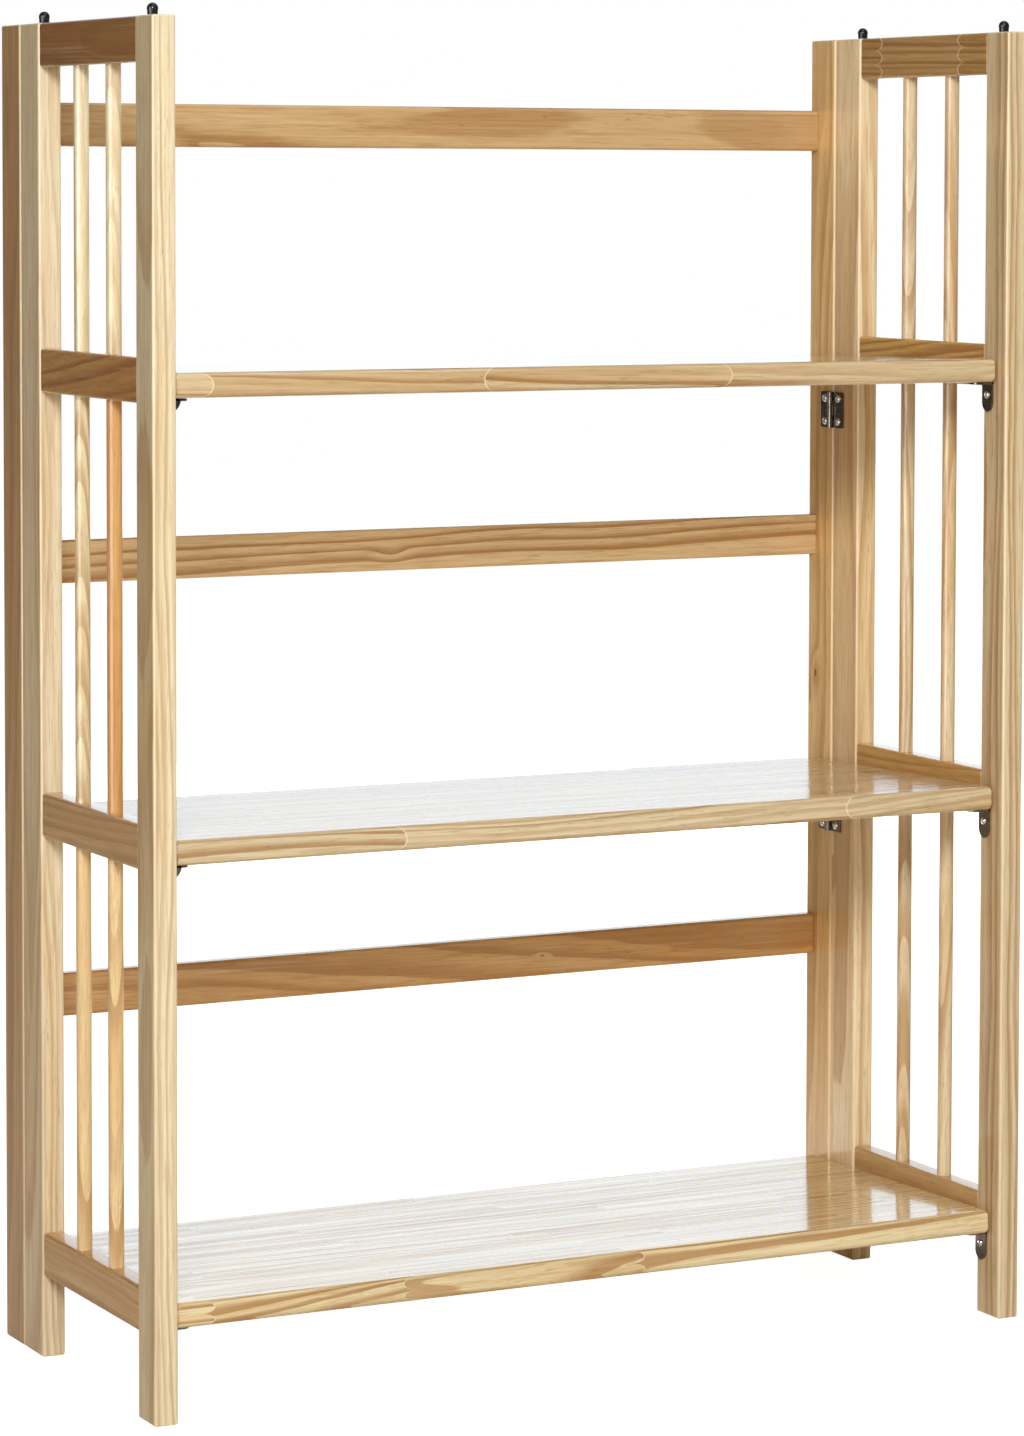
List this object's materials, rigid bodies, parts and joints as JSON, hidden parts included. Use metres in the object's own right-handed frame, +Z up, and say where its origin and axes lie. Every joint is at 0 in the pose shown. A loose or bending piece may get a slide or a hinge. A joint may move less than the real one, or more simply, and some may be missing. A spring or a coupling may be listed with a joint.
{
  "type": "folding bookcase",
  "caption": "Open folding bookcase with slatted side frames hinged to a railed back, lift-up shelves pivoted at the rear, and stacking pins on the post tops.",
  "frame": {"origin": "on the floor, midway between the outer faces of the side frames and midway between the front of the front posts and the rear of the stiles", "axes": "+X to the right of a person facing the shelves, +Y to the back, +Z up"},
  "size_m": [0.6984, 0.2922, 0.9737],
  "materials": {
    "pine_pale": "clear gloss varnish",
    "pine_straw": "clear gloss varnish",
    "pine_honey": "clear gloss varnish",
    "pine_amber": "clear gloss varnish",
    "nickel_steel": "polished nickel plate",
    "black_plastic": "gloss"
  },
  "bodies": {
    "back_frame": {"left_stile": "pine_honey", "right_stile": "pine_honey", "back_rail_bottom": "pine_straw", "back_rail_middle": "pine_straw", "back_rail_top": "pine_straw", "left_pivot_pin_bottom": "nickel_steel", "left_pivot_pin_middle": "nickel_steel", "left_pivot_pin_top": "nickel_steel", "right_pivot_pin_bottom": "nickel_steel", "right_pivot_pin_middle": "nickel_steel", "right_pivot_pin_top": "nickel_steel", "left_hinge_stile_leaf_bottom": "nickel_steel", "left_hinge_stile_leaf_middle": "nickel_steel", "left_hinge_stile_leaf_top": "nickel_steel", "right_hinge_stile_leaf_bottom": "nickel_steel", "right_hinge_stile_leaf_middle": "nickel_steel", "right_hinge_stile_leaf_top": "nickel_steel"},
    "left_side_frame": {"left_front_post": "pine_pale", "left_rear_post": "pine_honey", "left_front_stacking_pin": "black_plastic", "left_rear_stacking_pin": "black_plastic", "left_side_rail_bottom": "pine_honey", "left_side_rail_middle": "pine_honey", "left_side_rail_top": "pine_honey", "left_side_rail_crown": "pine_honey", "left_spindle_bottom_1": "pine_straw", "left_spindle_bottom_2": "pine_honey", "left_spindle_middle_1": "pine_amber", "left_spindle_middle_2": "pine_honey", "left_spindle_top_1": "pine_straw", "left_spindle_top_2": "pine_straw", "left_shelf_bracket_bottom": "nickel_steel", "left_shelf_bracket_middle": "nickel_steel", "left_shelf_bracket_top": "nickel_steel", "left_hinge_post_leaf_bottom": "nickel_steel", "left_hinge_post_leaf_middle": "nickel_steel", "left_hinge_post_leaf_top": "nickel_steel"},
    "right_side_frame": {"right_front_post": "pine_pale", "right_rear_post": "pine_honey", "right_front_stacking_pin": "black_plastic", "right_rear_stacking_pin": "black_plastic", "right_side_rail_bottom": "pine_honey", "right_side_rail_middle": "pine_honey", "right_side_rail_top": "pine_honey", "right_side_rail_crown": "pine_honey", "right_spindle_bottom_1": "pine_straw", "right_spindle_bottom_2": "pine_straw", "right_spindle_middle_1": "pine_straw", "right_spindle_middle_2": "pine_straw", "right_spindle_top_1": "pine_straw", "right_spindle_top_2": "pine_straw", "right_shelf_bracket_bottom": "nickel_steel", "right_shelf_bracket_middle": "nickel_steel", "right_shelf_bracket_top": "nickel_steel", "right_hinge_post_leaf_bottom": "nickel_steel", "right_hinge_post_leaf_middle": "nickel_steel", "right_hinge_post_leaf_top": "nickel_steel"},
    "bottom_shelf": {"shelf_bottom": "pine_straw"},
    "middle_shelf": {"shelf_middle": "pine_straw"},
    "top_shelf": {"shelf_top": "pine_straw"}
  },
  "joints": [
    {"name": "bottom_shelf_lift", "type": "hinge", "parent": "back_frame", "child": "bottom_shelf", "pos_m": [0, 0.1235, 0.066], "axis": [-1, 0, 0], "range_deg": [0, 88.6]},
    {"name": "middle_shelf_lift", "type": "hinge", "parent": "back_frame", "child": "middle_shelf", "pos_m": [0, 0.1235, 0.3867], "axis": [-1, 0, 0], "range_deg": [0, 88.6]},
    {"name": "top_shelf_lift", "type": "hinge", "parent": "back_frame", "child": "top_shelf", "pos_m": [0, 0.1235, 0.7074], "axis": [-1, 0, 0], "range_deg": [0, 88.6]},
    {"name": "left_side_fold", "type": "hinge", "parent": "back_frame", "child": "left_side_frame", "pos_m": [-0.3292, 0.1077, 0.48], "axis": [0, 0, 1], "range_deg": [0, 0.5]},
    {"name": "right_side_fold", "type": "hinge", "parent": "back_frame", "child": "right_side_frame", "pos_m": [0.3292, 0.1077, 0.48], "axis": [0, 0, -1], "range_deg": [0, 0.5]}
  ]
}
